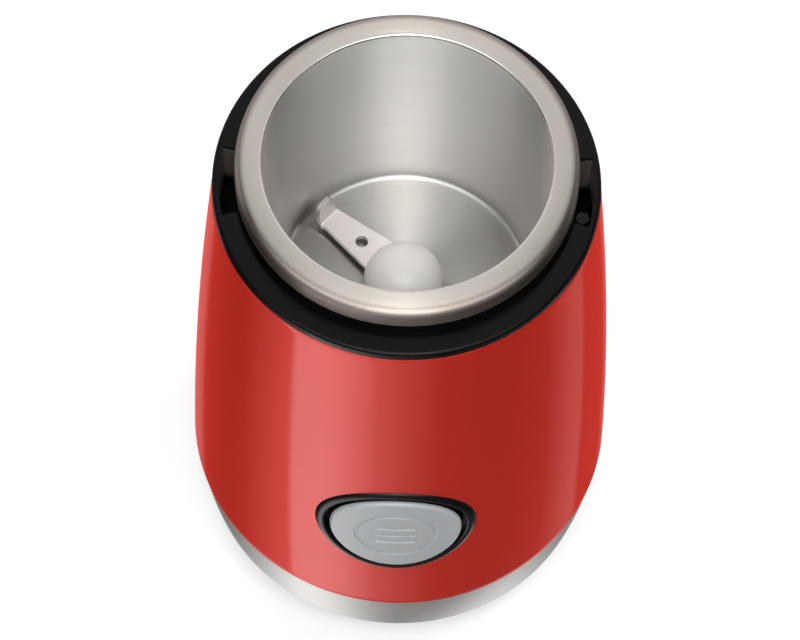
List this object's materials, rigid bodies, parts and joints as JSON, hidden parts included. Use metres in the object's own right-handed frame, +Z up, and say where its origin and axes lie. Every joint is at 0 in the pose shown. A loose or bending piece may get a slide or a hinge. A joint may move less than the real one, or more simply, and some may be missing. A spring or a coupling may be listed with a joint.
{
  "type": "electric coffee grinder",
  "caption": "Round blade coffee grinder with its lid off: steel grinding bowl and winged blade, motor, round front button, safety switch and steel foot band.",
  "frame": {"origin": "on the table, under the centre of the body's axis", "axes": "+Z up along the body's axis, -Y out of the front through the button, +X to the right as the front is faced"},
  "size_m": [0.108, 0.1092, 0.162],
  "materials": {
    "red_shell": "glossy red lacquer with a fine pearl",
    "band_steel": "brushed round the axis",
    "black_plastic": "fine moulded grain",
    "gloss_black": "glossy",
    "bezel_black": "satin gloss",
    "black_rubber": "matt",
    "zinc_steel": "zinc plated",
    "bowl_steel": "fine lines round the axis",
    "blade_steel": "bead blasted",
    "hub_steel": "satin",
    "white_plastic": "moulded",
    "ivory_plastic": "moulded",
    "grey_button": "satin silver grey",
    "lamination_steel": "stacked laminations",
    "bracket_steel": "cast",
    "copper_wire": "enamelled copper",
    "commutator_copper": "turned copper",
    "bearing_bronze": "sintered",
    "brass": "stamped",
    "carbon": "graphite",
    "spring_steel": "drawn wire",
    "shaft_steel": "ground",
    "capacitor_case": "moulded case"
  },
  "bodies": {
    "base": {"outer_shell": "red_shell", "base_band": "band_steel", "bottom_cover": "black_plastic", "rubber_feet": "black_rubber", "bottom_screws": "zinc_steel", "collar": "gloss_black", "collar_screws": "zinc_steel", "grinding_bowl": "bowl_steel", "bowl_gasket": "black_rubber", "shaft_seal": "black_rubber", "chassis": "white_plastic", "motor_dampers": "black_rubber", "motor_screws": "zinc_steel", "stator_core": "lamination_steel", "field_coils": "copper_wire", "upper_bracket": "bracket_steel", "lower_bracket": "ivory_plastic", "upper_bearing": "bearing_bronze", "lower_bearing": "bearing_bronze", "bracket_screws": "zinc_steel", "brush_holders": "brass", "carbon_brushes": "carbon", "brush_springs": "spring_steel", "button_bezel": "bezel_black", "button_spring": "spring_steel", "pulse_switch": "black_plastic", "interlock_spring": "spring_steel", "interlock_switch": "black_plastic", "terminal_block": "ivory_plastic", "suppression_capacitor": "capacitor_case", "cord_bush": "black_rubber", "cord_clamp": "black_plastic", "clamp_screws": "zinc_steel"},
    "rotor": {"motor_shaft": "shaft_steel", "armature_core": "lamination_steel", "armature_windings": "copper_wire", "commutator": "commutator_copper", "cooling_fan": "white_plastic", "blade": "blade_steel", "blade_hub": "hub_steel", "blade_spacer": "hub_steel"},
    "button": {"pulse_button": "bezel_black", "button_cap": "grey_button"},
    "plunger": {"interlock_plunger": "black_plastic"}
  },
  "joints": [
    {"name": "rotor_spin", "type": "hinge", "parent": "base", "child": "rotor", "pos_m": [0, 0, 0.1], "axis": [0, 0, 1], "continuous": true},
    {"name": "button_press", "type": "slide", "parent": "base", "child": "button", "axis": [0, 1, 0], "range_m": [0, 0.003], "stiffness_N_per_m": 900, "springref_m": -0.001, "deforming": ["button_spring"]},
    {"name": "plunger_press", "type": "slide", "parent": "base", "child": "plunger", "axis": [0, 0, -1], "range_m": [0, 0.003], "stiffness_N_per_m": 400, "springref_m": -0.001, "deforming": ["interlock_spring"]}
  ]
}
